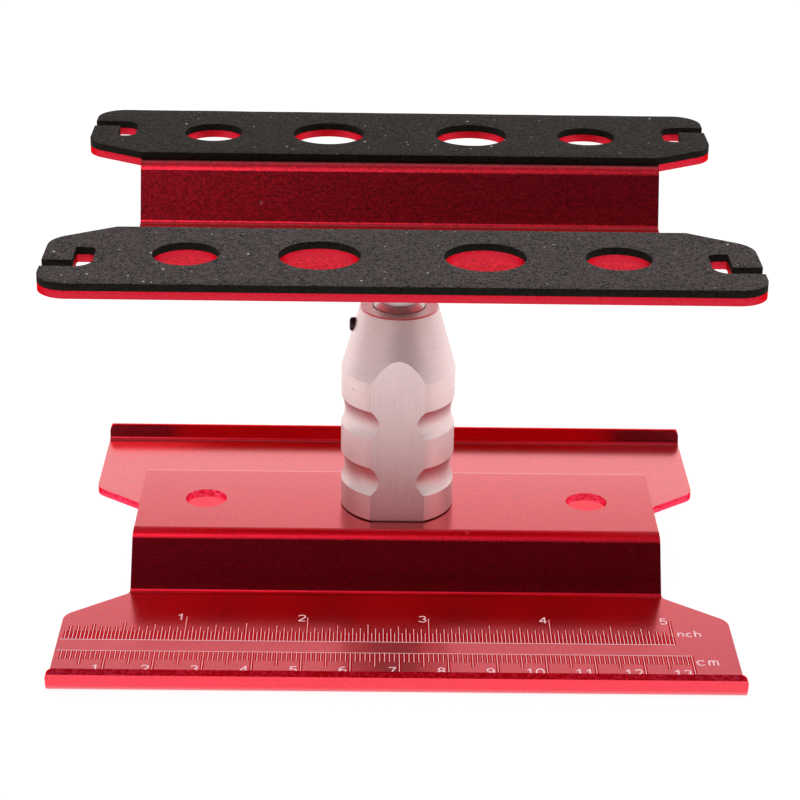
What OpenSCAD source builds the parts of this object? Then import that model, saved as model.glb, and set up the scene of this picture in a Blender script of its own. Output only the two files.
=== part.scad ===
// Hobby car work stand: a bent sheet base with upturned lips, a round pillar with a
// telescoping post, and a bent sheet table with two foam pads that swivels on the post.
// Z is up, X runs along the length, and -Y is the front.
// The origin is on the pillar's axis, in the plane that the base rests on.

/* [Base plate] */
// Length of the base plate
base_len = 140; // [130:1:160]
// Overall depth of the base plate, over both lips
base_depth = 122.8; // [116:0.2:150]
// Thickness of the base sheet
base_t = 1.8; // [1.5:0.1:2.2]
// Height of the raised deck above the flanges
base_rise = 12.5; // [11:0.5:15]
// Length of the raised deck
deck_len = 113; // [100:1:116]
// Depth of the flat part of the deck, between its two bends
deck_flat = 28; // [27:0.5:34]
// Length of each lip along its inner face
lip_len = 3.6; // [2.5:0.1:6]
// Lean of each lip away from upright
lip_lean = 15; // [0:1:25]
// Diameter of the two deck holes
deck_hole_d = 9; // [4:0.5:10]
// Distance between the two deck holes
deck_hole_gap = 84; // [60:1:90]

/* [Sheet bends] */
// Slope of the side walls of both sheets
wall_angle = 70; // [65:1:80]
// Inner radius of every bend
bend_r = 1; // [0.6:0.1:1.4]

/* [Pillar] */
// Diameter of the pillar
pillar_d = 24.6; // [24:0.1:26]
// Height of the pillar above the deck
pillar_h = 46.2; // [45:0.2:48]
// Diameter of the top face of the pillar
pillar_top_d = 17; // [16.5:0.1:18]
// Height of the tapered top of the pillar
taper_h = 13.9; // [12:0.1:15]
// Distance from the axis to the front and rear flats
flat_at = 10.85; // [10.6:0.05:11.1]
// Height of the lower grip groove above the deck
lower_groove_z = 9.4; // [8:0.1:11]
// Height of the upper grip groove above the deck
upper_groove_z = 22.6; // [20:0.1:24]
// Height of each grip groove
groove_w = 6.5; // [4:0.1:8]
// Depth of each grip groove
groove_depth = 0.75; // [0.3:0.05:0.9]
// Diameter of the bore that guides the post
bore_d = 11; // [10.6:0.1:11.2]

/* [Post and lift] */
// Radial clearance of every sliding or turning fit
running_gap = 0.05; // [0.03:0.01:0.08]
// Height by which the table can be raised
lift_travel = 20; // [5:1:22]
// Diameter of the relieved neck below the head of the post
neck_d = 8; // [7:0.1:8.5]
// Diameter of the head of the post
head_d = 16; // [14:0.5:17]
// Diameter of the spigot that the table turns on
spigot_d = 6; // [5.6:0.1:6.4]
// Height of the lock screws above the deck
lock_h = 41.7; // [40.5:0.1:42.5]
// Angle by which the side lock screw sits behind the X axis
side_lock_angle = 9; // [0:1:20]
// Thread diameter of the lock screws and the pillar screws
thread_d = 3; // [2.8:0.1:3.2]

/* [Table] */
// Length of the table
table_len = 138; // [130:1:160]
// Depth of the table
table_depth = 114.6; // [110:0.2:140]
// Thickness of the table sheet
table_t = 1.6; // [1.4:0.1:2]
// Depth of the channel between the two table flanges
channel_depth = 12.6; // [12:0.1:13]
// Width of the channel between the inner edges of the flanges
channel_w = 49.6; // [48:0.2:54]
// Length of the channel
channel_len = 113.2; // [100:0.2:116]
// Height of the top of the table sheet with the post fully down
table_z = 84.5; // [84:0.1:86]
// Thickness of the foam pads
pad_t = 1.5; // [1:0.1:4]
// Diameter of the two inner holes in each flange
inner_hole_d = 16; // [8:0.5:18]
// Diameter of the two outer holes in each flange
outer_hole_d = 13; // [5:0.5:15]
// Distance of the inner holes from the middle of the flange
inner_hole_x = 16; // [12:0.5:20]
// Distance of the outer holes from the middle of the flange
outer_hole_x = 41.8; // [36:0.1:44]
// Distance of the flange holes from the middle of the table
flange_hole_y = 40.4; // [38:0.1:44]
// Width of the slot near each corner
slot_w = 4; // [3:0.1:5]
// Length of the slot near each corner
slot_len = 10.8; // [8:0.1:12]
// Width of the entry that opens each slot to the end of the flange
entry_w = 3.5; // [2:0.1:3.8]

/* [Hidden] */
$fn = 96;
eps = 0.01;
// Clearance between pieces that rest on each other
face_gap = 0.02;
arc_steps = 12;

// Heights of the main faces
deck_z = base_t + base_rise;
pillar_top_z = deck_z + pillar_h;
lock_z = deck_z + lock_h;
floor_z = table_z - channel_depth - table_t;

// Chamfer at the mouth of the bore of the pillar
bore_chamfer = 0.25;

// Outline of the base
foot_y = deck_flat / 2 + bend_run(base_rise, base_t);
base_shoulder_run = 10;
base_wing_y = foot_y + base_shoulder_run;
foot_flare = 0.7;
foot_half_len = deck_len / 2 + foot_flare;
lip_turn = 90 - lip_lean;
lip_flat = lip_len - bend_r * tan(lip_turn / 2);
lip_bend_y = base_depth / 2 - lip_flat * sin(lip_lean) - (bend_r + base_t) * cos(lip_lean);
lip_corner_r = 1.5;
wing_corner_r = 4;

// Pillar fasteners
screw_count = 3;
screw_circle_r = 8.2;
screw_len = 10;
screw_head_d = 5.5;
screw_head_h = 1.7;
washer_t = 0.7;

// Post and the stack of rings that carries the table
post_d = bore_d - 2 * running_gap;
shoulder_rise = 1.1;
shoulder_z = pillar_top_z + shoulder_rise;
shoulder_chamfer = 1;
head_h = 2;
ring_d = 14;
ring_t = 1;
head_top_z = floor_z - 2 * ring_t - 3 * face_gap;
bush_d = spigot_d + 2;
cap_t = 1.2;
friction_t = 0.8;
friction_z = floor_z + table_t + face_gap;
spigot_top_z = friction_z + friction_t + face_gap;
pivot_thread_d = 4;
pivot_head_d = 7.6;
pivot_head_h = 2.2;
pivot_screw_len = 9;

// Lock screws
keyway_w = thread_d + 0.3;
keyway_depth = 0.75;
tip_d = thread_d - 0.1;
tip_start = post_d / 2 - keyway_depth + 0.04;
tip_len = 1.25;
lock_screw_len = 4.6;
side_screw_len = 3.3;
lock_hex_d = 1.75;
lock_hex_depth = 1.4;

// Outline of the table
table_shoulder_run = 7.5;
table_wing_y = channel_w / 2 + table_shoulder_run;
floor_flat = channel_w - 2 * bend_run(channel_depth, table_t);
table_corner_r = 6;
table_shoulder_r = 6.5;
slot_x_inset = 7.8;
slot_y_inset = 9.3;
slot_x = table_len / 2 - slot_x_inset;
slot_end_y = table_depth / 2 - slot_y_inset;

// Plan distance that a sloped wall and its two bends take up for a given rise
function bend_run(rise, t) =
    wall_len(rise, t) * cos(wall_angle) + (2 * bend_r + t) * sin(wall_angle);
// Length of the straight wall between the two bends
function wall_len(rise, t) =
    (rise - (2 * bend_r + t) * (1 - cos(wall_angle))) / sin(wall_angle);

// Points of the arc that rounds corner b of the path a, b, c
function unit(v) = v / norm(v);
function turn(v, a) = [v.x * cos(a) - v.y * sin(a), v.x * sin(a) + v.y * cos(a)];
function corner_arc(a, b, c, r) =
    let (
        u = unit(a - b),
        w = unit(c - b),
        half = acos(u * w) / 2,
        centre = b + unit(u + w) * r / sin(half),
        start = b + u * r / tan(half) - centre,
        side = sign(cross(b - a, c - b))
    )
    [for (i = [0:arc_steps]) centre + turn(start, side * (180 - 2 * half) * i / arc_steps)];

// Closed outline with each corner rounded to its own radius
module rounded_outline(corners, radii) {
    count = len(corners);
    polygon([
        for (i = [0:count - 1])
            each (
                radii[i] == 0
                    ? [corners[i]]
                    : corner_arc(corners[(i + count - 1) % count], corners[i],
                                 corners[(i + 1) % count], radii[i])
            )
    ]);
}

// Draws its children and their mirror image across the X or the Y axis
module both_sides(direction) {
    children();
    mirror(direction) children();
}

// Sector of a bent sheet, drawn about the centre of the bend
module bend_sector(t, from, to) {
    reach = 3 * (bend_r + t);
    intersection() {
        difference() {
            circle(bend_r + t);
            circle(bend_r);
        }
        polygon([[0, 0], reach * [cos(from), sin(from)],
                 reach * [cos((from + to) / 2), sin((from + to) / 2)],
                 reach * [cos(to), sin(to)]]);
    }
}

// Right half of a raised section: half a flat top, a bend, a sloped wall and the foot bend.
// The foot bend ends on the line v = 0, and the children start there.
module raised_half(flat, rise, t) {
    outer = bend_r + t;
    wall = wall_len(rise, t);
    translate([0, rise])
        square([flat / 2 + eps, t]);
    translate([flat / 2, rise + t - outer]) {
        bend_sector(t, 90 - wall_angle, 90);
        rotate(-wall_angle) {
            translate([-eps, bend_r])
                square([wall + 2 * eps, t]);
            translate([wall, bend_r + outer])
                rotate(wall_angle)
                    bend_sector(t, 270 - wall_angle, 270);
        }
    }
}

// Section of the base plate in the plane across its length
module base_section() {
    outer = bend_r + base_t;
    both_sides([1, 0]) {
        raised_half(deck_flat, base_rise, base_t);
        translate([foot_y - eps, 0])
            square([lip_bend_y - foot_y + 2 * eps, base_t]);
        translate([lip_bend_y, outer]) {
            bend_sector(base_t, 270, 270 + lip_turn);
            rotate(lip_turn)
                translate([-eps, -outer])
                    square([lip_flat + eps, base_t]);
        }
    }
}

// Section of the table sheet in the plane across its length
module table_section() {
    mirror([0, 1])
        both_sides([1, 0]) {
            raised_half(floor_flat, channel_depth, table_t);
            translate([channel_w / 2 - eps, 0])
                square([(table_depth - channel_w) / 2 + eps, table_t]);
        }
}

// Sweeps a section drawn in Y and Z along the X axis
module along_x(length) {
    rotate([90, 0, 90])
        linear_extrude(height = length, center = true)
            children();
}

// Plan of the base plate
module base_outline() {
    end_x = base_len / 2;
    end_y = base_depth / 2 + 1;
    quarter = [[deck_len / 2, deck_flat / 2], [foot_half_len, foot_y],
               [end_x, base_wing_y], [end_x, end_y]];
    radii = [0, 2, wing_corner_r, 0];
    symmetric_outline(quarter, radii);
}

// Plan of the table sheet
module table_outline() {
    end_x = table_len / 2;
    end_y = table_depth / 2;
    quarter = [[channel_len / 2, channel_w / 2], [end_x, table_wing_y], [end_x, end_y]];
    radii = [0, table_shoulder_r, table_corner_r];
    symmetric_outline(quarter, radii);
}

// Outline that repeats the corners of one quarter in all four quarters
module symmetric_outline(quarter, radii) {
    last = len(quarter) - 1;
    back = [for (i = [last:-1:0]) quarter[i]];
    back_radii = [for (i = [last:-1:0]) radii[i]];
    corners = concat(
        quarter,
        [for (p = back) [-p.x, p.y]],
        [for (p = quarter) [-p.x, -p.y]],
        [for (p = back) [p.x, -p.y]]
    );
    rounded_outline(corners, concat(radii, back_radii, radii, back_radii));
}

// Cuts that round the top corners of both lips
module lip_corner_cuts() {
    lip_top_z = base_t + lip_len * cos(lip_lean);
    half = base_len / 2;
    cover = 1;
    rotate([90, 0, 0])
        difference() {
            linear_extrude(height = base_depth + 2, center = true)
                difference() {
                    translate([-half - cover, lip_top_z - lip_corner_r])
                        square([base_len + 2 * cover, lip_corner_r + cover]);
                    rounded_outline([
                            [half, 0], [half, lip_top_z], [-half, lip_top_z], [-half, 0]
                        ], [0, lip_corner_r, lip_corner_r, 0]);
                }
            cube([2 * base_len, 4 * lip_top_z, 2 * lip_bend_y], center = true);
        }
}

// Places its children at each screw that holds the pillar
module at_pillar_screws() {
    for (i = [0:screw_count - 1])
        rotate(i * 360 / screw_count)
            translate([screw_circle_r, 0, 0])
                children();
}

module base_plate() {
    color("crimson")
        difference() {
            intersection() {
                along_x(base_len)
                    base_section();
                linear_extrude(height = deck_z + 1)
                    base_outline();
            }
            lip_corner_cuts();
            both_sides([1, 0, 0])
                translate([deck_hole_gap / 2, 0, base_rise - 1])
                    cylinder(h = base_t + 2, d = deck_hole_d);
            at_pillar_screws()
                translate([0, 0, base_rise - 1])
                    cylinder(h = base_t + 2, d = thread_d + 0.4);
        }
}

// Solid of the pillar before its bore and flats are cut
module pillar_blank() {
    groove_r = (pow(groove_w / 2, 2) + pow(groove_depth, 2)) / (2 * groove_depth);
    edge = 0.3;
    top_r = pillar_top_d / 2;
    side_r = pillar_d / 2;
    rotate_extrude()
        difference() {
            polygon([
                [0, 0], [side_r - edge, 0], [side_r, edge], [side_r, pillar_h - taper_h],
                [top_r, pillar_h - edge], [top_r - edge, pillar_h], [0, pillar_h]
            ]);
            for (z = [lower_groove_z, upper_groove_z])
                translate([side_r - groove_depth + groove_r, z])
                    circle(groove_r);
        }
}

module pillar() {
    color("gainsboro")
        difference() {
            translate([0, 0, deck_z])
                pillar_blank();
            translate([0, 0, deck_z - 1])
                cylinder(h = pillar_h + 2, d = bore_d);
            translate([0, 0, pillar_top_z - bore_chamfer])
                cylinder(h = bore_chamfer + eps, d1 = bore_d,
                         d2 = bore_d + 2 * (bore_chamfer + eps));
            both_sides([0, 1, 0])
                translate([-pillar_d, flat_at, deck_z - 1])
                    cube([2 * pillar_d, pillar_d, pillar_h + 2]);
            at_pillar_screws()
                translate([0, 0, deck_z - 1])
                    cylinder(h = screw_len, d = thread_d + 2 * running_gap);
            at_lock_screw()
                lock_hole();
            at_side_screw()
                lock_hole();
        }
}

// Places its children, drawn along +X from the axis, at each lock screw
module at_lock_screw() {
    translate([0, 0, lock_z])
        mirror([1, 0, 0])
            children();
}

module at_side_screw() {
    translate([0, 0, lock_z])
        rotate(side_lock_angle)
            children();
}

// Radial hole along +X for a lock screw
module lock_hole() {
    rotate([0, 90, 0])
        cylinder(h = pillar_d, d = thread_d + 2 * running_gap);
}

module pillar_screws() {
    head_top_z = base_rise - washer_t - 2 * face_gap;
    color("dimgray")
        at_pillar_screws()
            difference() {
                translate([0, 0, head_top_z])
                    rotate_extrude()
                        polygon([
                            [0, -screw_head_h], [screw_head_d / 2 - 0.6, -screw_head_h],
                            [screw_head_d / 2, -screw_head_h + 0.8], [screw_head_d / 2, 0],
                            [thread_d / 2, 0], [thread_d / 2, screw_len - 0.4],
                            [thread_d / 2 - 0.4, screw_len], [0, screw_len]
                        ]);
                translate([0, 0, head_top_z - screw_head_h - 1])
                    cylinder(h = 2, d = 2.3, $fn = 6);
            }
}

module pillar_lock_washers() {
    color("silver")
        at_pillar_screws()
            translate([0, 0, base_rise - washer_t - face_gap])
                difference() {
                    cylinder(h = washer_t, d = screw_head_d);
                    translate([0, 0, -1])
                        cylinder(h = washer_t + 2, d = thread_d + 0.3);
                    translate([1, -0.25, -1])
                        cube([screw_head_d, 0.5, washer_t + 2]);
                }
}

// Set screw along +X from its inner end, with a hex socket in its domed outer end
module set_screw(length) {
    bevel = 0.35;
    dome = 0.6;
    r = thread_d / 2;
    dome_arc = [for (i = [0:4]) [r - dome + dome * cos(90 * i / 4),
                                 length - dome + dome * sin(90 * i / 4)]];
    rotate([0, 90, 0])
        difference() {
            rotate_extrude()
                polygon(concat([[0, 0], [r - bevel, 0], [r, bevel]], dome_arc, [[0, length]]));
            translate([0, 0, length - lock_hex_depth])
                cylinder(h = lock_hex_depth + 1, d = lock_hex_d, $fn = 6);
        }
}

// Soft tip along +X that a set screw presses into the keyway
module screw_tip() {
    translate([tip_start, 0, 0])
        rotate([0, 90, 0])
            cylinder(h = tip_len, d = tip_d);
}

module lock_screw() {
    color("black")
        at_lock_screw()
            translate([tip_start + tip_len + face_gap, 0, 0])
                set_screw(lock_screw_len);
}

module lock_tip() {
    color("goldenrod")
        at_lock_screw()
            screw_tip();
}

module side_screw() {
    color("black")
        at_side_screw()
            translate([tip_start + tip_len + face_gap, 0, 0])
                set_screw(side_screw_len);
}

module side_tip() {
    color("goldenrod")
        at_side_screw()
            screw_tip();
}

// Keyway of the post along +X, open to the side where a lock screw presses
module keyway() {
    translate([post_d / 2 - keyway_depth, -keyway_w / 2, keyway_w / 2 - lift_travel - keyway_w])
        cube([post_d, keyway_w, lift_travel + keyway_w]);
}

module post() {
    bottom_z = deck_z + 0.05;
    post_r = post_d / 2;
    color("lightgray")
        difference() {
            rotate_extrude()
                polygon([
                    [0, bottom_z], [post_r - 0.5, bottom_z], [post_r, bottom_z + 0.5],
                    [post_r, shoulder_z - shoulder_chamfer],
                    [post_r - shoulder_chamfer, shoulder_z], [neck_d / 2, shoulder_z],
                    [neck_d / 2, head_top_z - head_h], [head_d / 2, head_top_z - head_h],
                    [head_d / 2, head_top_z], [spigot_d / 2, head_top_z],
                    [spigot_d / 2, spigot_top_z - 0.3], [spigot_d / 2 - 0.3, spigot_top_z],
                    [0, spigot_top_z]
                ]);
            translate([0, 0, spigot_top_z - pivot_screw_len - 1])
                cylinder(h = pivot_screw_len + 2, d = pivot_thread_d + 2 * running_gap);
            at_lock_screw()
                keyway();
            at_side_screw()
                keyway();
        }
}

// Flat ring that stands on z
module ring(z, height, outer_d, inner_d) {
    translate([0, 0, z])
        difference() {
            cylinder(h = height, d = outer_d);
            translate([0, 0, -1])
                cylinder(h = height + 2, d = inner_d);
        }
}

module thrust_washer() {
    color("silver")
        ring(head_top_z + face_gap, ring_t, ring_d, spigot_d + 2 * running_gap);
}

module pivot_bush() {
    inner = spigot_d + 2 * running_gap;
    bottom_z = head_top_z + ring_t + 2 * face_gap;
    color("goldenrod") {
        ring(bottom_z, ring_t, ring_d, inner);
        ring(bottom_z, floor_z + table_t - bottom_z, bush_d, inner);
    }
}

module friction_washer() {
    color("white")
        ring(friction_z, friction_t, ring_d, spigot_d + 2 * running_gap);
}

module cap_washer() {
    color("silver")
        ring(spigot_top_z + face_gap, cap_t, ring_d, pivot_thread_d + 2 * running_gap);
}

module pivot_screw() {
    seat_z = spigot_top_z + cap_t + 2 * face_gap;
    head_r = pivot_head_d / 2;
    color("dimgray")
        translate([0, 0, seat_z])
            difference() {
                rotate_extrude()
                    polygon([
                        [0, -pivot_screw_len], [pivot_thread_d / 2 - 0.4, -pivot_screw_len],
                        [pivot_thread_d / 2, -pivot_screw_len + 0.4], [pivot_thread_d / 2, 0],
                        [head_r, 0], [head_r, pivot_head_h - 1], [head_r - 1.2, pivot_head_h],
                        [0, pivot_head_h]
                    ]);
                translate([0, 0, pivot_head_h - 1.3])
                    cylinder(h = 2, d = 2.9, $fn = 6);
            }
}

// Plan of every opening in one half of the table: holes, slots and their entries
module flange_openings() {
    slot_r = slot_w / 2;
    inner_r = 1.9;
    tooth_r = 0.5;
    outer_r = 3.4;
    both_sides([1, 0]) {
        translate([inner_hole_x, flange_hole_y])
            circle(d = inner_hole_d);
        translate([outer_hole_x, flange_hole_y])
            circle(d = outer_hole_d);
        rounded_outline([
                [slot_x - slot_r, slot_end_y - slot_len], [slot_x + slot_r, slot_end_y - slot_len],
                [slot_x + slot_r, slot_end_y - entry_w], [table_len / 2 + 2, slot_end_y - entry_w],
                [table_len / 2 + 2, slot_end_y], [slot_x - slot_r, slot_end_y]
            ], [inner_r, tooth_r, 0.3, 0, 0, outer_r]);
    }
}

module platform_plate() {
    color("crimson")
        difference() {
            intersection() {
                translate([0, 0, table_z])
                    along_x(table_len)
                        table_section();
                translate([0, 0, floor_z - 1])
                    linear_extrude(height = channel_depth + table_t + 2)
                        table_outline();
            }
            both_sides([0, 1, 0])
                translate([0, 0, table_z - table_t - 1])
                    linear_extrude(height = table_t + 2)
                        flange_openings();
            translate([0, 0, floor_z - 1])
                cylinder(h = table_t + 2, d = bush_d + 2 * running_gap);
        }
}

// Foam pad that covers the rear flange
module pad() {
    translate([0, 0, table_z + face_gap])
        linear_extrude(height = pad_t)
            difference() {
                intersection() {
                    table_outline();
                    translate([-table_len, channel_w / 2])
                        square([2 * table_len, table_depth]);
                }
                flange_openings();
            }
}

module pad_rear() {
    color("darkslategray")
        pad();
}

module pad_front() {
    color("darkslategray")
        mirror([0, 1, 0])
            pad();
}

base_plate();
pillar();
pillar_screws();
pillar_lock_washers();
lock_screw();
lock_tip();
side_screw();
side_tip();
post();
thrust_washer();
pivot_bush();
friction_washer();
cap_washer();
pivot_screw();
platform_plate();
pad_front();
pad_rear();
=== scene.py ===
import math
import bmesh
import bpy
from mathutils import Matrix, Vector, noise


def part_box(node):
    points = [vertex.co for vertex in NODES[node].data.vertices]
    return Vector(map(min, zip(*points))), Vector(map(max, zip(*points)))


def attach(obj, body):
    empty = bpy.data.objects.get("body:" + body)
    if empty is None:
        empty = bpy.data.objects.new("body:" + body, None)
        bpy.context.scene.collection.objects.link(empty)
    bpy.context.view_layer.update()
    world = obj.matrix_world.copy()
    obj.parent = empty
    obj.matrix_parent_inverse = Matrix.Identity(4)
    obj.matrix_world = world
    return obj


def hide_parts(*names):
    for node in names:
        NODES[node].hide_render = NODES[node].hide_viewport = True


# Hobby car work stand, built around its CAD frame. Metres, Z up, -Y is the ruler side.
MM = 0.001

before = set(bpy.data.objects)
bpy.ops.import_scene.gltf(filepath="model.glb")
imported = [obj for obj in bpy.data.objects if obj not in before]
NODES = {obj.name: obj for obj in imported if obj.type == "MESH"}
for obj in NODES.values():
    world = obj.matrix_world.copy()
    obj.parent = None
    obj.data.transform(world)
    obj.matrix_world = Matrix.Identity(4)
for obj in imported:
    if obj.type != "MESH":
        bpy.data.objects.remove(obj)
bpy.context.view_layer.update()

# ---- sizes taken from the frame ------------------------------------------------------------
BASE_LO, BASE_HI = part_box("base_plate")
TABLE_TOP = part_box("platform_plate")[1].z
PILLAR_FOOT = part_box("pillar")[0].z
BASE_SHEET = 1.8 * MM
FLANGE_TOP = BASE_LO.z + BASE_SHEET
LIP_TOP_Y = BASE_HI.y - 2.2 * MM  # the lips' cut top edges lie outside this and above LIP_TOP_Z
LIP_TOP_Z = FLANGE_TOP + 1.7 * MM
# height of the painted contact shadow along the pillar's foot
FOOT_SHADOW_HEIGHT = 0.3 * MM
WELD_REACH = 0.002 * MM

# ---- camera --------------------------------------------------------------------------------
CAMERA_PLACE = Vector((-0.0054, -0.4596, 0.2368))
CAMERA_PITCH = 0.4075
CAMERA_YAW = 0.0127
CAMERA_ROLL = 0.0158
CAMERA_LENS_MM = 103.8
SENSOR_MM = 36.0
NEAR_CLIP = 0.01


def add_camera():
    data = bpy.data.cameras.new("camera")
    data.sensor_width = SENSOR_MM
    data.lens = CAMERA_LENS_MM
    data.clip_start = NEAR_CLIP
    camera = bpy.data.objects.new("camera", data)
    bpy.context.scene.collection.objects.link(camera)
    turn = (
        Matrix.Rotation(-CAMERA_YAW, 4, "Z")
        @ Matrix.Rotation(math.pi / 2 - CAMERA_PITCH, 4, "X")
        @ Matrix.Rotation(CAMERA_ROLL, 4, "Z")
    )
    camera.matrix_world = Matrix.Translation(CAMERA_PLACE) @ turn
    bpy.context.scene.camera = camera


# ---- node helpers --------------------------------------------------------------------------
def colour(r, g, b):
    return (r, g, b, 1.0)


def sine(degrees):
    """Height on a sky of radius 1 at this many degrees above the horizon."""
    return math.sin(math.radians(degrees))


class Nodes:
    """Adds nodes to one tree and wires them. Inputs are given as numbers, tuples or outputs."""

    def __init__(self, tree):
        self.tree = tree

    def add(self, kind, inputs=None, **settings):
        node = self.tree.nodes.new("ShaderNode" + kind)
        for key, value in settings.items():
            setattr(node, key, value)
        for key, value in (inputs or {}).items():
            self.wire(value, node.inputs[key])
        return node

    def wire(self, value, socket):
        if isinstance(value, bpy.types.NodeSocket):
            self.tree.links.new(value, socket)
        else:
            socket.default_value = value

    def math(self, operation, a, b=0.0):
        return self.add("Math", {0: a, 1: b}, operation=operation).outputs[0]

    def vector(self, operation, a, b):
        node = self.add("VectorMath", {0: a, 1: b}, operation=operation)
        return node.outputs["Value" if operation == "DOT_PRODUCT" else "Vector"]

    def ramp(self, value, low, high, out_low=0.0, out_high=1.0):
        """Smooth change from out_low to out_high as value goes from low to high."""
        node = self.add("MapRange", interpolation_type="SMOOTHSTEP")
        for name, v in (("Value", value), ("From Min", low), ("From Max", high),
                        ("To Min", out_low), ("To Max", out_high)):
            self.wire(v, node.inputs[name])
        return node.outputs["Result"]

    def mix(self, amount, a, b):
        """Colour a where amount is 0 and b where it is 1."""
        node = self.add("Mix", data_type="RGBA")
        colours = [s for s in node.inputs if s.type == "RGBA"]
        self.wire(amount, node.inputs[0])
        self.wire(a, colours[0])
        self.wire(b, colours[1])
        return [s for s in node.outputs if s.type == "RGBA"][0]

    def split(self, vector):
        node = self.add("SeparateXYZ", {0: vector})
        return node.outputs["X"], node.outputs["Y"], node.outputs["Z"]

    def stretched(self, place, scale):
        return self.vector("MULTIPLY", place, scale)

    def noise(self, place, scale, detail=2.0, rough=0.5):
        node = self.add("TexNoise", {"Vector": place, "Scale": scale,
                                     "Detail": detail, "Roughness": rough})
        return node.outputs["Fac"]

    def cells(self, place, scale):
        """Distance from the middle of each cell, and a random value for each cell."""
        node = self.add("TexVoronoi", {"Vector": place, "Scale": scale})
        value = self.add("SeparateColor", {0: node.outputs["Color"]}).outputs[0]
        return node.outputs["Distance"], value

    def speckle(self, place, scale):
        """Random value per small cell, for grain that is as fine as the eye can see."""
        return self.cells(place, scale)[1]

    def scattered(self, place, scale, share):
        """Distance from the middle of each cell, and 1 in this share of the cells."""
        far, value = self.cells(place, scale)
        return far, self.math("GREATER_THAN", value, 1.0 - share)

    def blend(self, *parts):
        """Weighted sum of (value, weight) pairs."""
        total = 0.0
        for value, weight in parts:
            total = self.math("ADD", total, self.math("MULTIPLY", value, weight))
        return total

    def bump(self, height, depth):
        inputs = {"Height": height, "Strength": 1.0, "Distance": depth}
        return self.add("Bump", inputs).outputs["Normal"]


class Paint(Nodes):
    """One material: a Principled surface fed by procedural nodes, placed in the row frame."""

    def __init__(self, name):
        self.material = bpy.data.materials.new(name)
        self.material.use_nodes = True
        super().__init__(self.material.node_tree)
        self.surface = self.tree.nodes["Principled BSDF"]
        self.place = self.add("TexCoord").outputs["Object"]
        self.geometry = self.add("NewGeometry")
        turn = self.add("VectorTransform", {0: self.geometry.outputs["True Normal"]},
                        vector_type="NORMAL", convert_from="WORLD", convert_to="OBJECT")
        self.face = turn.outputs[0]

    def set(self, **inputs):
        """Feeds the surface; Base_Color stands for the input "Base Color"."""
        for key, value in inputs.items():
            self.wire(value, self.surface.inputs[key.replace("_", " ")])


# ---- materials -----------------------------------------------------------------------------
EDGE_TILT = 0.06
BEND_START = (0.36, 0.46)
BEND_END = (0.999, 0.97)
SEAL_FRONT_Y = -15 * MM
SEAL_REAR_Y = 45 * MM
FLAT_FACING = (0.9990, 0.9998)
PAD_CHANGE_Y = 30 * MM
# strength of the painted glow on the etched marks
MARK_PAINTED_GLOW = 0.24


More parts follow.
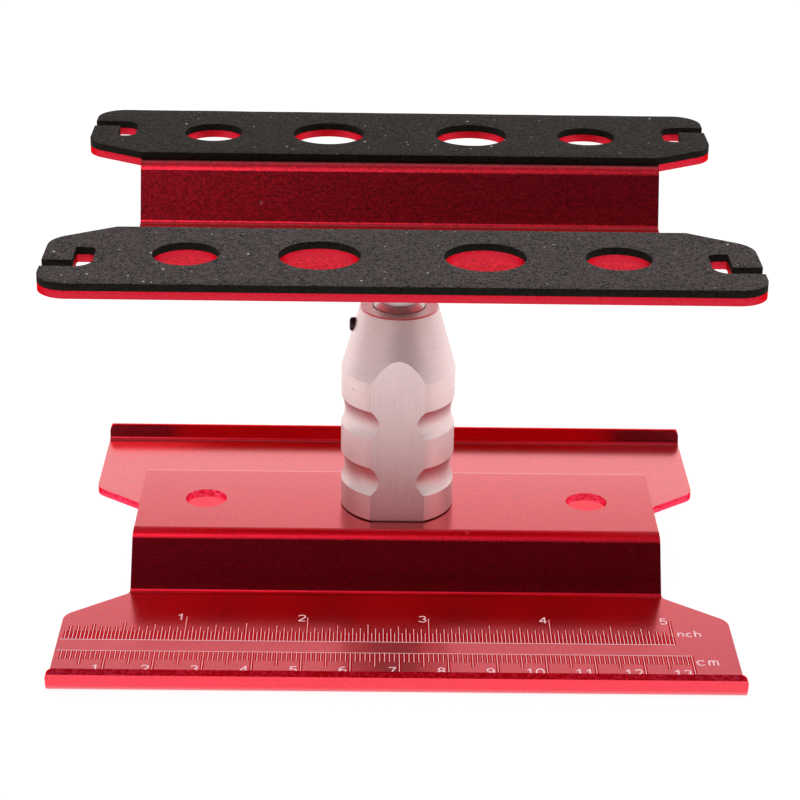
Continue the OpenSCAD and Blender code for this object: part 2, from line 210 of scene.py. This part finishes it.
def anodised_red(name, cut_band, cut_light, wear, grain_amount):
    """Dyed, clear-sealed aluminium sheet. Cut edges are torn and paler than the rolled faces.

    cut_band: heights between which the torn part of the cut edges sets in.
    cut_light: the paler tone there. wear: share of cells with a small dent.
    """
    p = Paint(name)
    _, y, z = p.split(p.place)
    nx, _, nz = p.split(p.face)
    tilt = p.math("ABSOLUTE", nz)
    upright = p.math("LESS_THAN", tilt, EDGE_TILT)
    slanted = p.math("GREATER_THAN", p.math("ABSOLUTE", nx), EDGE_TILT)
    lip_top = p.math("MULTIPLY", p.math("GREATER_THAN", p.math("ABSOLUTE", y), LIP_TOP_Y),
                     p.math("MULTIPLY", p.math("GREATER_THAN", nz, 0.9),
                            p.math("GREATER_THAN", z, LIP_TOP_Z)))
    cut = p.math("MAXIMUM", p.math("MAXIMUM", upright, slanted), lip_top)
    rolled_face = p.math("SUBTRACT", 1.0, cut)

    # rolling lines along X, a satin grain, and slow cloudiness of the dye
    rolled = p.noise(p.stretched(p.place, (45.0, 1900.0, 1900.0)), 1.0, 3.0, 0.6)
    grain = p.blend((p.speckle(p.stretched(p.place, (0.6, 1.0, 1.0)), 3300.0), 0.45),
                    (p.speckle(p.place, 5600.0), 0.25), (p.noise(p.place, 2600.0, 3.0, 0.7), 0.3))
    cloud = p.noise(p.place, 60.0, 3.0, 0.55)
    satin = p.noise(p.place, 1900.0, 3.0, 0.6)
    # sparse small dents, where bare metal glints through
    dent_far, pick = p.scattered(p.place, 330.0, wear)
    gather = p.ramp(p.noise(p.place, 45.0, 2.0), 0.45, 0.6)
    dent = p.math("MULTIPLY", p.math("MULTIPLY", pick, gather), p.ramp(dent_far, 0.22, 0.08))

    # the sheared part of a cut edge is torn across the sheet
    tear = p.noise(p.stretched(p.place, (1100.0, 1100.0, 2600.0)), 1.0, 4.0, 0.7)
    band = p.math("MAXIMUM", p.ramp(z, *cut_band), lip_top)
    torn = p.math("MULTIPLY", p.ramp(tear, 0.38, 0.62), p.blend((1.0, 0.35), (band, 0.65)))
    torn = p.blend((torn, 1.0), (lip_top, 0.3))
    cut_tone = p.mix(torn, cut_light, colour(0.58, 0.007, 0.022))
    # light that crosses the dye at a slant is taken up more than light that meets it square
    slant = p.add("LayerWeight", {"Blend": 0.5}).outputs["Facing"]
    square_tone = p.mix(p.ramp(cloud, 0.3, 0.7), colour(0.84, 0.0065, 0.0340),
                        colour(0.78, 0.0050, 0.0290))
    face_tone = p.mix(p.ramp(slant, 0.2, 0.5), square_tone, colour(0.57, 0.0060, 0.0320))
    face_tone = p.mix(p.ramp(rolled, 0.3, 0.75, 0.0, 0.6), face_tone, colour(0.60, 0.004, 0.024))
    face_tone = p.mix(p.ramp(grain, 0.5, 0.2, 0.0, grain_amount), face_tone,
                      colour(0.40, 0.003, 0.010))
    face_tone = p.mix(p.ramp(grain, 0.5, 0.8, 0.0, grain_amount), face_tone,
                      colour(1.0, 0.016, 0.04))
    face_tone = p.mix(dent, face_tone, colour(1.0, 0.16, 0.20))
    tone = p.mix(cut, face_tone, cut_tone)
    # the skin is stretched and duller over the bends
    bend = p.math("MULTIPLY", p.ramp(tilt, *BEND_START), p.ramp(tilt, *BEND_END))
    bend = p.math("MULTIPLY", bend, rolled_face)
    rough = p.blend((p.ramp(satin, 0.3, 0.7, 0.17, 0.24), 1.0), (cut, 0.22), (bend, 0.17))
    height = p.blend((rolled, 0.4), (satin, 0.5), (grain, 0.3 * grain_amount), (dent, -3.0),
                     (p.math("MULTIPLY", cut, tear), 9.0))
    # the clear seal shows where the surface is seen at a slant, and more towards the rear
    p.set(Base_Color=tone, Metallic=1.0, Roughness=rough,
          Coat_IOR=p.ramp(y, SEAL_FRONT_Y, SEAL_REAR_Y, 1.7, 2.15),
          Specular_Tint=p.mix(cut, colour(1.0, 0.16, 0.44), colour(0.9, 0.03, 0.07)),
          Coat_Weight=p.math("MULTIPLY", p.ramp(slant, 0.1, 0.5, 0.15, 1.0), rolled_face),
          Coat_Roughness=p.blend((1.0, 0.21), (bend, 0.14)))
    normal = p.bump(height, 0.006 * MM)
    p.set(Normal=normal, Coat_Normal=normal)
    return p.material


def silver_anodised():
    """Blasted, clear anodised: turned rings on the round faces, upright mill marks on the flats."""
    p = Paint("silver_anodised")
    z = p.split(p.place)[2]
    ny = p.split(p.face)[1]
    flat = p.ramp(p.math("ABSOLUTE", ny), *FLAT_FACING)
    rings = p.noise(p.stretched(p.place, (20.0, 20.0, 3600.0)), 1.0, 3.0, 0.6)
    mill = p.noise(p.stretched(p.place, (3600.0, 20.0, 60.0)), 1.0, 3.0, 0.6)
    lines = p.math("ADD", p.math("MULTIPLY", rings, p.math("SUBTRACT", 1.0, flat)),
                   p.math("MULTIPLY", mill, flat))
    grain = p.blend((p.speckle(p.place, 3600.0), 0.5), (p.speckle(p.place, 5600.0), 0.5))
    satin = p.noise(p.place, 2400.0, 3.0, 0.7)
    cloud = p.noise(p.place, 120.0, 3.0, 0.5)
    tone = p.mix(p.ramp(lines, 0.3, 0.7), colour(0.79, 0.629, 0.621),
                 colour(0.69, 0.541, 0.536))
    tone = p.mix(p.ramp(grain, 0.2, 0.8, 0.0, 0.8), tone, colour(0.68, 0.527, 0.522))
    tone = p.mix(p.ramp(cloud, 0.35, 0.7, 0.0, 0.5), tone, colour(0.77, 0.61, 0.60))
    speck_far, pick = p.scattered(p.place, 420.0, 0.01)
    speck = p.math("MULTIPLY", pick, p.ramp(speck_far, 0.12, 0.05))
    # painted contact shadow: a dark band along the foot, just above the deck; the same dark tone
    # also colours the real dark specks
    gap = p.ramp(z, PILLAR_FOOT + FOOT_SHADOW_HEIGHT, PILLAR_FOOT + 0.4 * FOOT_SHADOW_HEIGHT)
    tone = p.mix(p.math("MAXIMUM", speck, gap), tone, colour(0.05, 0.012, 0.014))
    p.set(Base_Color=tone, Metallic=p.ramp(gap, 0.0, 1.0, 1.0, 0.0),
          Roughness=p.blend((p.ramp(satin, 0.2, 0.8, 0.41, 0.51), 1.0), (flat, -0.07)),
          Normal=p.bump(p.blend((lines, 0.5), (satin, 0.8)), 0.006 * MM))
    return p.material


def turned_metal(name, light, dark, rough, ring_depth):
    """Lathe-turned metal: fine rings round the Z axis, on tops and on sides."""
    p = Paint(name)
    x, y, z = p.split(p.place)
    radius = p.math("SQRT", p.math("ADD", p.math("MULTIPLY", x, x), p.math("MULTIPLY", y, y)))
    spiral = p.add("CombineXYZ", {"X": radius, "Y": z}).outputs[0]
    rings = p.noise(spiral, 5200.0, 3.0, 0.6)
    broad = p.noise(spiral, 700.0, 2.0, 0.5)
    smudge = p.noise(p.place, 220.0, 4.0, 0.6)
    tone = p.mix(p.ramp(rings, 0.3, 0.7), light, dark)
    height = p.math("ADD", rings, p.math("MULTIPLY", broad, 0.6))
    p.set(Base_Color=tone, Metallic=1.0,
          Roughness=p.ramp(smudge, 0.3, 0.7, rough * 0.8, rough * 1.3),
          Normal=p.bump(height, ring_depth))
    return p.material


def black_oxide():
    p = Paint("black_oxide")
    mottle = p.noise(p.place, 900.0, 4.0, 0.6)
    fine = p.noise(p.place, 5200.0, 2.0, 0.6)
    tone = p.mix(p.ramp(mottle, 0.35, 0.7), colour(0.012, 0.012, 0.013),
                 colour(0.035, 0.032, 0.031))
    p.set(Base_Color=tone, Metallic=0.55, Roughness=p.ramp(mottle, 0.3, 0.7, 0.32, 0.5),
          Normal=p.bump(fine, 0.006 * MM))
    return p.material


def nylon():
    p = Paint("nylon")
    mottle = p.noise(p.place, 700.0, 4.0, 0.6)
    p.set(Base_Color=p.mix(mottle, colour(0.82, 0.80, 0.74), colour(0.72, 0.70, 0.64)),
          Roughness=0.5, Subsurface_Weight=0.15, Subsurface_Scale=0.5 * MM,
          Normal=p.bump(p.noise(p.place, 3000.0), 0.01 * MM))
    return p.material


def foam():
    """Closed-cell foam: pores, a fine grain, dust and small pale flecks on the skin."""
    p = Paint("foam")
    y = p.split(p.place)[1]
    nz = p.split(p.face)[2]
    pores = p.cells(p.place, 2600.0)[0]
    grain = p.noise(p.place, 1700.0, 3.0, 0.7)
    coarse = p.noise(p.place, 500.0, 3.0, 0.6)
    cloud = p.noise(p.place, 55.0, 4.0, 0.6)
    weave = p.blend((p.speckle(p.stretched(p.place, (0.7, 1.0, 1.0)), 2600.0), 0.26),
                    (p.speckle(p.place, 4300.0), 0.5), (grain, 0.24))
    shade = p.ramp(weave, 0.28, 0.72)
    tone = p.mix(shade, colour(0.004, 0.0030, 0.0020), colour(0.066, 0.048, 0.040))
    tone = p.mix(p.ramp(cloud, 0.3, 0.75, 0.0, 0.25), tone, colour(0.030, 0.022, 0.018))
    # the front pad gets a lighter, browner tone than the rear one
    front_pad_tone = p.mix(shade, colour(0.018, 0.0140, 0.0132), colour(0.128, 0.100, 0.095))
    tone = p.mix(p.ramp(y, PAD_CHANGE_Y, -PAD_CHANGE_Y), tone, front_pad_tone)
    fleck_far, pick = p.scattered(p.stretched(p.place, (1.0, 0.75, 1.0)), 640.0, 0.06)
    patch = p.ramp(p.noise(p.place, 42.0, 2.0), 0.38, 0.55)
    fleck = p.math("MULTIPLY", p.math("MULTIPLY", pick, patch), p.ramp(fleck_far, 0.22, 0.06))
    dust_far, dust = p.scattered(p.place, 1150.0, 0.015)
    dust = p.math("MULTIPLY", dust, p.ramp(dust_far, 0.30, 0.12, 0.0, 0.6))
    tone = p.mix(p.math("MAXIMUM", fleck, dust), tone, colour(0.75, 0.72, 0.71))
    # the sides get a far darker tone than the top: partly the open cells of the cut foam, partly
    # painted light, as the lighter top stands in for the sheen on its skin
    side = p.ramp(nz, 0.75, 0.25)
    side_tone = p.mix(shade, colour(0.005, 0.0045, 0.003), colour(0.014, 0.012, 0.009))
    tone = p.mix(side, tone, side_tone)
    height = p.blend((grain, 1.0), (coarse, 0.8), (p.ramp(pores, 0.5, 0.0), -0.8))
    p.set(Base_Color=tone, Roughness=0.85,
          Specular_IOR_Level=p.ramp(side, 0.0, 1.0, 0.11, 0.08),
          Normal=p.bump(height, 0.06 * MM))
    return p.material


def etched_oxide():
    """Pale matt oxide left by laser etching, with a painted glow that makes it brighter than the
    lamps light it.
    """
    p = Paint("etched_oxide")
    crumble = p.noise(p.place, 4200.0, 3.0, 0.7)
    pale = p.mix(p.ramp(crumble, 0.3, 0.7), colour(1.0, 0.88, 0.92), colour(0.95, 0.68, 0.75))
    p.set(Base_Color=pale, Roughness=0.55, Specular_IOR_Level=0.3,
          Normal=p.bump(crumble, 0.01 * MM), Emission_Color=pale, Emission_Strength=MARK_PAINTED_GLOW)
    return p.material


def etched_dye():
    """Deep red without the clear seal on both sides of each etched tick: painted shade for the dark
    edge beside each tick.
    """
    p = Paint("etched_dye")
    crumble = p.noise(p.place, 2600.0, 3.0, 0.7)
    p.set(Base_Color=p.mix(p.ramp(crumble, 0.3, 0.7), colour(0.72, 0.006, 0.030),
                           colour(0.46, 0.003, 0.014)),
          Metallic=1.0, Roughness=0.45, Specular_Tint=colour(1.0, 0.05, 0.08),
          Normal=p.bump(crumble, 0.01 * MM))
    return p.material


def assign(material, *objects):
    for o in objects:
        o.data.materials.clear()
        o.data.materials.append(material)


# ---- finish of the CAD nodes ---------------------------------------------------------------
SMOOTH_BELOW = math.radians(14)
DEBURR_ABOVE = math.radians(35)


def smooth_group():
    """Shades faces smooth across edges that turn by less than SMOOTH_BELOW."""
    group = bpy.data.node_groups.new("smooth_bends", "GeometryNodeTree")
    group.interface.new_socket("Geometry", in_out="INPUT", socket_type="NodeSocketGeometry")
    group.interface.new_socket("Geometry", in_out="OUTPUT", socket_type="NodeSocketGeometry")
    add, link = group.nodes.new, group.links.new
    source, result = add("NodeGroupInput"), add("NodeGroupOutput")
    faces, edges = add("GeometryNodeSetShadeSmooth"), add("GeometryNodeSetShadeSmooth")
    edges.domain = "EDGE"
    edges.inputs["Shade Smooth"].default_value = False
    turn, sharp = add("GeometryNodeInputMeshEdgeAngle"), add("FunctionNodeCompare")
    sharp.operation = "GREATER_THAN"
    sharp.inputs["B"].default_value = SMOOTH_BELOW
    link(turn.outputs["Unsigned Angle"], sharp.inputs["A"])
    link(sharp.outputs["Result"], edges.inputs["Selection"])
    link(source.outputs["Geometry"], faces.inputs["Geometry"])
    link(faces.outputs["Geometry"], edges.inputs["Geometry"])
    link(edges.outputs["Geometry"], result.inputs["Geometry"])
    return group


SMOOTH = smooth_group()


def finish_edges(o, width):
    """Weld the CAD mesh, break its sharp edges as deburring does, and shade its curves smooth."""
    weld = o.modifiers.new("weld", "WELD")
    weld.merge_threshold = WELD_REACH
    if width:
        bevel = o.modifiers.new("deburr", "BEVEL")
        bevel.width = width
        bevel.segments = 2
        bevel.limit_method = "ANGLE"
        bevel.angle_limit = DEBURR_ABOVE
        bevel.use_clamp_overlap = True
    smooth = o.modifiers.new("smooth", "NODES")
    smooth.node_group = SMOOTH
    even = o.modifiers.new("even", "WEIGHTED_NORMAL")
    even.weight = 100
    even.keep_sharp = True


red_base = anodised_red(
    "anodised_base", cut_band=(BASE_LO.z + 0.6 * MM, BASE_LO.z + 1.2 * MM),
    cut_light=colour(0.89, 0.066, 0.145), wear=0.012, grain_amount=0.3)
red_table = anodised_red(
    "anodised_table", cut_band=(TABLE_TOP - 0.9 * MM, TABLE_TOP - 0.3 * MM),
    cut_light=colour(0.57, 0.025, 0.045), wear=0.04, grain_amount=0.85)
assign(red_base, NODES["base_plate"])
assign(red_table, NODES["platform_plate"])
assign(silver_anodised(), NODES["pillar"])
assign(turned_metal("turned_steel", colour(0.66, 0.65, 0.64), colour(0.48, 0.47, 0.47), 0.34,
                    0.01 * MM), NODES["post"])
assign(turned_metal("zinc_steel", colour(0.70, 0.71, 0.73), colour(0.55, 0.56, 0.58), 0.3,
                    0.006 * MM),
       NODES["thrust_washer"], NODES["cap_washer"], NODES["pillar_lock_washers"])
assign(turned_metal("brass", colour(0.80, 0.58, 0.25), colour(0.62, 0.43, 0.16), 0.25,
                    0.006 * MM),
       NODES["pivot_bush"], NODES["lock_tip"], NODES["side_tip"])
assign(black_oxide(), NODES["lock_screw"], NODES["side_screw"], NODES["pillar_screws"],
       NODES["pivot_screw"])
assign(nylon(), NODES["friction_washer"])


# ---- foam pads -----------------------------------------------------------------------------
FOAM_STEP = 2.5 * MM
FOAM_EDGE = 0.22 * MM
FOAM_WAVE = 0.05 * MM
FOAM_WAVES_PER_M = 160.0


def foam_pad(name, node):
    """Foam pad grown from its CAD solid: die-cut soft edges and a slightly uneven skin."""
    pad = bpy.data.objects.new(name, NODES[node].data.copy())
    pad.data.name = name
    bpy.context.scene.collection.objects.link(pad)
    bm = bmesh.new()
    bm.from_mesh(pad.data)
    bmesh.ops.remove_doubles(bm, verts=bm.verts, dist=WELD_REACH)
    bmesh.ops.dissolve_limit(bm, angle_limit=math.radians(1), verts=bm.verts, edges=bm.edges)
    low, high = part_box(node)
    for axis in (0, 1):
        steps = int((high[axis] - low[axis]) / FOAM_STEP)
        for i in range(1, steps):
            at, normal = Vector(), Vector()
            at[axis] = low[axis] + (high[axis] - low[axis]) * i / steps
            normal[axis] = 1.0
            bmesh.ops.bisect_plane(bm, geom=bm.verts[:] + bm.edges[:] + bm.faces[:],
                                   plane_co=at, plane_no=normal, dist=0.01 * MM)
    for v in bm.verts:
        if v.co.z > (low.z + high.z) / 2:
            v.co.z += noise.noise(v.co * FOAM_WAVES_PER_M) * FOAM_WAVE
    for f in bm.faces:
        f.smooth = True
    bm.to_mesh(pad.data)
    bm.free()
    bevel = pad.modifiers.new("soft_edge", "BEVEL")
    bevel.width = FOAM_EDGE
    bevel.segments = 3
    bevel.limit_method = "ANGLE"
    bevel.angle_limit = math.radians(45)
    bevel.harden_normals = True
    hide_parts(node)
    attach(pad, "table")
    return pad


foam_material = foam()
for name, node in (("foam_front", "pad_front"), ("foam_rear", "pad_rear")):
    assign(foam_material, foam_pad(name, node))

# ---- ruler ---------------------------------------------------------------------------------
INCH = 25.4 * MM
CM = 10 * MM
INCHES = 5
CMS = 13
RULE_START_INCH = -69.45 * MM
RULE_START_CM = -69.5 * MM
INCH_LINE_Y = -41.6 * MM
CM_LINE_Y = -46.2 * MM
TICK_W = 0.20 * MM
TICK_H = 0.05 * MM
# width and height of the painted shade strips beside the ticks
TICK_SHADE_W = 0.86 * MM
TICK_SHADE_H = 0.02 * MM
LINE_W = 0.16 * MM
STROKE_W = 0.31 * MM
STROKE_H = 0.04 * MM
RIDGE_SINK = 0.003 * MM
DIGIT_H = 2.5 * MM
DIGIT_W = 1.55 * MM
DIGIT_GAP = 0.5 * MM
INCH_DIGITS_Y = -32.9 * MM
CM_DIGITS_Y = -54.5 * MM
INCH_DIGIT_INSET = 0.47 * MM
CM_DIGIT_INSET = 0.7 * MM
# left, bottom, width, height and gap of the letters
INCH_LABEL = (56.9 * MM, -38.1 * MM, 1.35 * MM, 2.5 * MM, 0.42 * MM)
CM_LABEL = (61.2 * MM, -50.0 * MM, 2.0 * MM, 3.2 * MM, 0.5 * MM)


def add_bar(bm, start, end, width, height):
    """Shallow ridge between two points, on the top of the front flange."""
    a, b = Vector((*start, 0)), Vector((*end, 0))
    side = (b - a).normalized().cross(Vector((0, 0, 1))) * width / 2
    low = Vector((0, 0, FLANGE_TOP - RIDGE_SINK))
    high = Vector((0, 0, FLANGE_TOP + height))
    ends = [[bm.verts.new(p + side + low), bm.verts.new(p + high), bm.verts.new(p - side + low)]
            for p in (a, b)]
    for i in (0, 1):
        bm.faces.new([ends[0][i], ends[1][i], ends[1][i + 1], ends[0][i + 1]])
    bm.faces.new([ends[0][2], ends[1][2], ends[1][0], ends[0][0]])
    bm.faces.new(ends[0])
    bm.faces.new(ends[1][::-1])


# Length in mm of every n-th tick, the longest first: n counts 32nds of an inch, or mm
INCH_TICKS = ((32, 10.1), (16, 7.4), (8, 6.6), (2, 5.65), (1, 3.7))
CM_TICKS = ((10, 7.7), (5, 5.5), (1, 3.6))


def tick_length(i, lengths):
    return next(length for step, length in lengths if i % step == 0) * MM


def mark_mesh(name, bm):
    bmesh.ops.recalc_face_normals(bm, faces=bm.faces)
    mesh = bpy.data.meshes.new(name)
    bm.to_mesh(mesh)
    bm.free()
    o = bpy.data.objects.new(name, mesh)
    bpy.context.scene.collection.objects.link(o)
    return o


def tick_lines():
    """Start and end of every tick of both scales."""
    for i in range(1, INCHES * 32 + 1):
        x = RULE_START_INCH + i * INCH / 32
        yield (x, INCH_LINE_Y), (x, INCH_LINE_Y + tick_length(i, INCH_TICKS))
    for i in range(1, CMS * 10 + 1):
        x = RULE_START_CM + i * CM / 10
        yield (x, CM_LINE_Y), (x, CM_LINE_Y - tick_length(i, CM_TICKS))


def ruler_ticks():
    bm = bmesh.new()
    for start, end in tick_lines():
        add_bar(bm, start, end, TICK_W, TICK_H)
    for x, y, length in ((RULE_START_INCH, INCH_LINE_Y, INCHES * INCH),
                         (RULE_START_CM, CM_LINE_Y, CMS * CM)):
        add_bar(bm, (x, y), (x + length, y), LINE_W, TICK_H)
    return mark_mesh("ruler_ticks", bm)


# dark strips on both sides of each tick, carrying the painted shade
def ruler_dye():
    bm = bmesh.new()
    for start, end in tick_lines():
        add_bar(bm, start, end, TICK_SHADE_W, TICK_SHADE_H)
    return mark_mesh("ruler_dye", bm)


def arc(cx, cy, rx, ry, start, end, steps=8):
    """Points of part of an ellipse, with angles in degrees."""
    turns = [math.radians(start + (end - start) * i / steps) for i in range(steps + 1)]
    return [(cx + rx * math.cos(t), cy + ry * math.sin(t)) for t in turns]


# Strokes of each character in a box 1 wide and 1 high
GLYPHS = {
    "0": [arc(0.5, 0.5, 0.5, 0.5, 90, 450, 16)],
    "1": [[(0.12, 0.74), (0.34, 0.82), (0.56, 1.0), (0.56, 0.0)]],
    "2": [arc(0.5, 0.72, 0.46, 0.28, 165, -35) + [(0.06, 0.0), (0.97, 0.0)]],
    "3": [arc(0.47, 0.74, 0.42, 0.26, 160, -80), arc(0.47, 0.26, 0.49, 0.26, 85, -160)],
    "4": [[(0.74, 0.0), (0.74, 1.0), (0.03, 0.3), (1.0, 0.3)]],
    "5": [[(0.88, 1.0), (0.22, 1.0), (0.12, 0.5)] + arc(0.48, 0.32, 0.46, 0.32, 135, -150)],
    "6": [arc(0.52, 0.3, 0.44, 0.3, 90, 450, 12), arc(0.62, 0.42, 0.56, 0.58, 75, 190)],
    "7": [[(0.04, 1.0), (0.96, 1.0), (0.55, 0.45), (0.38, 0.0)]],
    "8": [arc(0.5, 0.76, 0.38, 0.24, 90, 450, 12), arc(0.5, 0.26, 0.47, 0.26, 90, 450, 12)],
    "9": [arc(0.48, 0.7, 0.44, 0.3, 90, 450, 12), arc(0.38, 0.58, 0.56, 0.58, 10, -105)],
    "i": [[(0.5, 0.0), (0.5, 0.62)], [(0.5, 0.84), (0.5, 0.96)]],
    "n": [[(0.1, 0.0), (0.1, 0.62)], arc(0.5, 0.3, 0.4, 0.32, 165, 20) + [(0.9, 0.0)]],
    "c": [arc(0.5, 0.31, 0.44, 0.31, 45, 315)],
    "h": [[(0.1, 0.0), (0.1, 1.0)], arc(0.5, 0.3, 0.4, 0.32, 165, 20) + [(0.9, 0.0)]],
    "m": [[(0.05, 0.0), (0.05, 0.62)], arc(0.28, 0.34, 0.22, 0.28, 165, 20) + [(0.5, 0.0)],
          arc(0.72, 0.34, 0.22, 0.28, 165, 20) + [(0.95, 0.0)]],
}


def write(bm, text, left, bottom, width, height, gap):
    """Strokes of a short generic label, one character after another."""
    for i, character in enumerate(text):
        x = left + i * (width + gap)
        for stroke in GLYPHS[character]:
            points = [(x + u * width, bottom + v * height) for u, v in stroke]
            for a, b in zip(points, points[1:]):
                add_bar(bm, a, b, STROKE_W, STROKE_H)


def ruler_numerals():
    bm = bmesh.new()
    for i in range(1, INCHES + 1):
        right = RULE_START_INCH + i * INCH - INCH_DIGIT_INSET
        write(bm, str(i), right - DIGIT_W, INCH_DIGITS_Y, DIGIT_W, DIGIT_H, DIGIT_GAP)
    for i in range(1, CMS + 1):
        right = RULE_START_CM + i * CM - CM_DIGIT_INSET
        wide = len(str(i)) * (DIGIT_W + DIGIT_GAP) - DIGIT_GAP
        write(bm, str(i), right - wide, CM_DIGITS_Y, DIGIT_W, DIGIT_H, DIGIT_GAP)
    write(bm, "inch", *INCH_LABEL)
    write(bm, "cm", *CM_LABEL)
    return mark_mesh("ruler_numerals", bm)


oxide = etched_oxide()
for piece, material in ((ruler_ticks(), oxide), (ruler_numerals(), oxide),
                        (ruler_dye(), etched_dye())):
    assign(material, piece)
    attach(piece, "base")

finish_edges(NODES["base_plate"], 0.18 * MM)
finish_edges(NODES["platform_plate"], 0.15 * MM)
for node in ("pillar", "post", "lock_screw", "side_screw", "pivot_screw", "pillar_screws"):
    finish_edges(NODES[node], 0)


# ---- studio --------------------------------------------------------------------------------
FLOOR_SIZE = 8.0
FLOOR_DROP = 0.05 * MM
GLOW_UNDER = 1.6
GLOW_SHADE = 0.68
GLOW_FRONT = 1.47
GLOW_SEEN = 1.15
GLOW_SHARE = 0.8
UNDER_TO_SHADE = (12 * MM, 5 * MM)
SHADE_TO_FRONT = (42 * MM, 32 * MM)
CEILING = 0.5
SIDE_LEFT = 0.39
SIDE_RIGHT = 0.68
ROOM_AZIMUTH = math.radians(14)
ROOM_HALF_WIDTH = (math.radians(55), math.radians(12))
BACKDROP_SIZE = 1.6
BACKDROP_Y = 0.28
BACKDROP_LOW = 0.080
BACKDROP_MID = 0.165
BACKDROP_TOP = 0.29
GLOW_FOOT = 2.6
GLOW_MID = 1.0
GLOW_TOP = 0.36
SOFTBOX_PLACE = Vector((-0.19, -0.53, 0.57))
SOFTBOX_TARGET = Vector((0, 0, 0.05))
SOFTBOX_SIZE = 0.28
SOFTBOX_WATTS = 0.68


def add_floor():
    """Pale paper on a light table, so shadows stay faint. It glows under and behind the stand; a
    dimmer band just in front of it is a painted shadow of the table, and further in front it glows
    again. The camera sees it even."""
    bpy.ops.mesh.primitive_plane_add(size=FLOOR_SIZE, location=(0, 0, -FLOOR_DROP))
    floor = bpy.context.object
    floor.name = "floor"
    p = Paint("floor")
    y = p.split(p.place)[1]
    p.set(Base_Color=colour(0.93, 0.93, 0.93), Roughness=0.9, Specular_IOR_Level=0.1)
    seen = p.add("LightPath").outputs["Is Camera Ray"]
    front_edge = BASE_LO.y
    outer, inner = (front_edge - distance for distance in SHADE_TO_FRONT)
    # painted shadow of the table: the glow drops to GLOW_SHADE in a band just in front of the base
    glow_with_shadow_band = p.ramp(y, outer, inner, GLOW_FRONT, GLOW_SHADE)
    outer, inner = (front_edge - distance for distance in UNDER_TO_SHADE)
    level = p.ramp(y, outer, inner, glow_with_shadow_band, GLOW_UNDER)
    strength = p.add("Mix", {0: seen, 2: level, 3: GLOW_SEEN}).outputs[0]
    glow = p.add("Emission", {"Strength": strength}).outputs[0]
    mixed = p.add("MixShader", {0: GLOW_SHARE, 1: p.surface.outputs[0], 2: glow}).outputs[0]
    p.wire(mixed, p.tree.nodes["Material Output"].inputs["Surface"])
    floor.data.materials.append(p.material)


def add_backdrop():
    """Lit paper that hangs close behind the stand: brightest at its foot, dimmer higher up.
    Only reflections show it: it gives the deck and the rear flange their light."""
    bpy.ops.mesh.primitive_plane_add(size=BACKDROP_SIZE, location=(0, BACKDROP_Y, 0),
                                     rotation=(math.pi / 2, 0, 0))
    paper = bpy.context.object
    paper.name = "backdrop"
    paper.visible_camera = False
    paper.visible_shadow = False
    paper.visible_diffuse = False
    p = Paint("backdrop")
    x, _, height = p.split(p.geometry.outputs["Position"])
    foot = p.ramp(x, -0.15, 0.15, GLOW_FOOT, 1.2 * GLOW_FOOT)
    low = p.ramp(height, BACKDROP_LOW, BACKDROP_MID, foot, GLOW_MID)
    high = p.ramp(height, BACKDROP_MID, BACKDROP_TOP, 1.3 * GLOW_MID, GLOW_TOP)
    strength = p.math("MINIMUM", low, high)
    glow = p.add("Emission", {"Strength": strength}).outputs[0]
    p.wire(glow, p.tree.nodes["Material Output"].inputs["Surface"])
    paper.data.materials.append(p.material)


def add_world():
    """White wall behind the stand, greyer walls beside it, a dim ceiling, and a dark room on the
    camera's side. The camera itself sees white."""
    world = bpy.data.worlds.new("studio")
    bpy.context.scene.world = world
    world.use_nodes = True
    n = Nodes(world.node_tree)
    x, y, z = n.split(n.add("TexCoord").outputs["Generated"])
    level = n.vector("NORMALIZE", n.add("CombineXYZ", {"X": x, "Y": y}).outputs[0], (0, 0, 0))
    camera_side = (math.sin(ROOM_AZIMUTH), -math.cos(ROOM_AZIMUTH), 0.0)
    facing = n.vector("DOT_PRODUCT", level, camera_side)
    # heights are given as degrees above the horizon
    behind = n.ramp(z, sine(24.0), sine(26.8), 1.75, 0.85)
    beside = n.math("MULTIPLY", n.ramp(x, -0.8, 0.8, SIDE_LEFT, SIDE_RIGHT),
                    n.ramp(z, sine(8), sine(21), 0.95, 2.8))
    walls = n.add("Mix", {0: n.ramp(y, 0.3, 0.7), 2: beside, 3: behind}).outputs[0]
    walls = n.math("MINIMUM", walls, n.ramp(z, sine(30), sine(42), 1.7, CEILING))
    rise = n.ramp(z, sine(16), sine(66), 0.04, CEILING)
    room = n.math("MULTIPLY", rise, n.ramp(z, sine(60), sine(72), 1.0, 0.15))
    toward_room = n.ramp(facing, *(math.cos(angle) for angle in ROOM_HALF_WIDTH))
    blend = n.add("Mix", {0: toward_room, 2: walls, 3: room}).outputs[0]
    seen = n.add("LightPath").outputs["Is Camera Ray"]
    background = world.node_tree.nodes["Background"]
    n.wire(n.math("MAXIMUM", blend, seen), background.inputs["Strength"])
    background.inputs["Color"].default_value = colour(1, 1, 1)


def add_softbox():
    data = bpy.data.lights.new("softbox", "AREA")
    data.size = SOFTBOX_SIZE
    data.energy = SOFTBOX_WATTS
    light = bpy.data.objects.new("softbox", data)
    light.location = SOFTBOX_PLACE
    aim = SOFTBOX_TARGET - SOFTBOX_PLACE
    light.rotation_euler = aim.to_track_quat("-Z", "Y").to_euler()
    bpy.context.scene.collection.objects.link(light)


add_floor()
add_backdrop()
add_world()
add_softbox()
add_camera()
bpy.context.scene.view_settings.view_transform = "Standard"
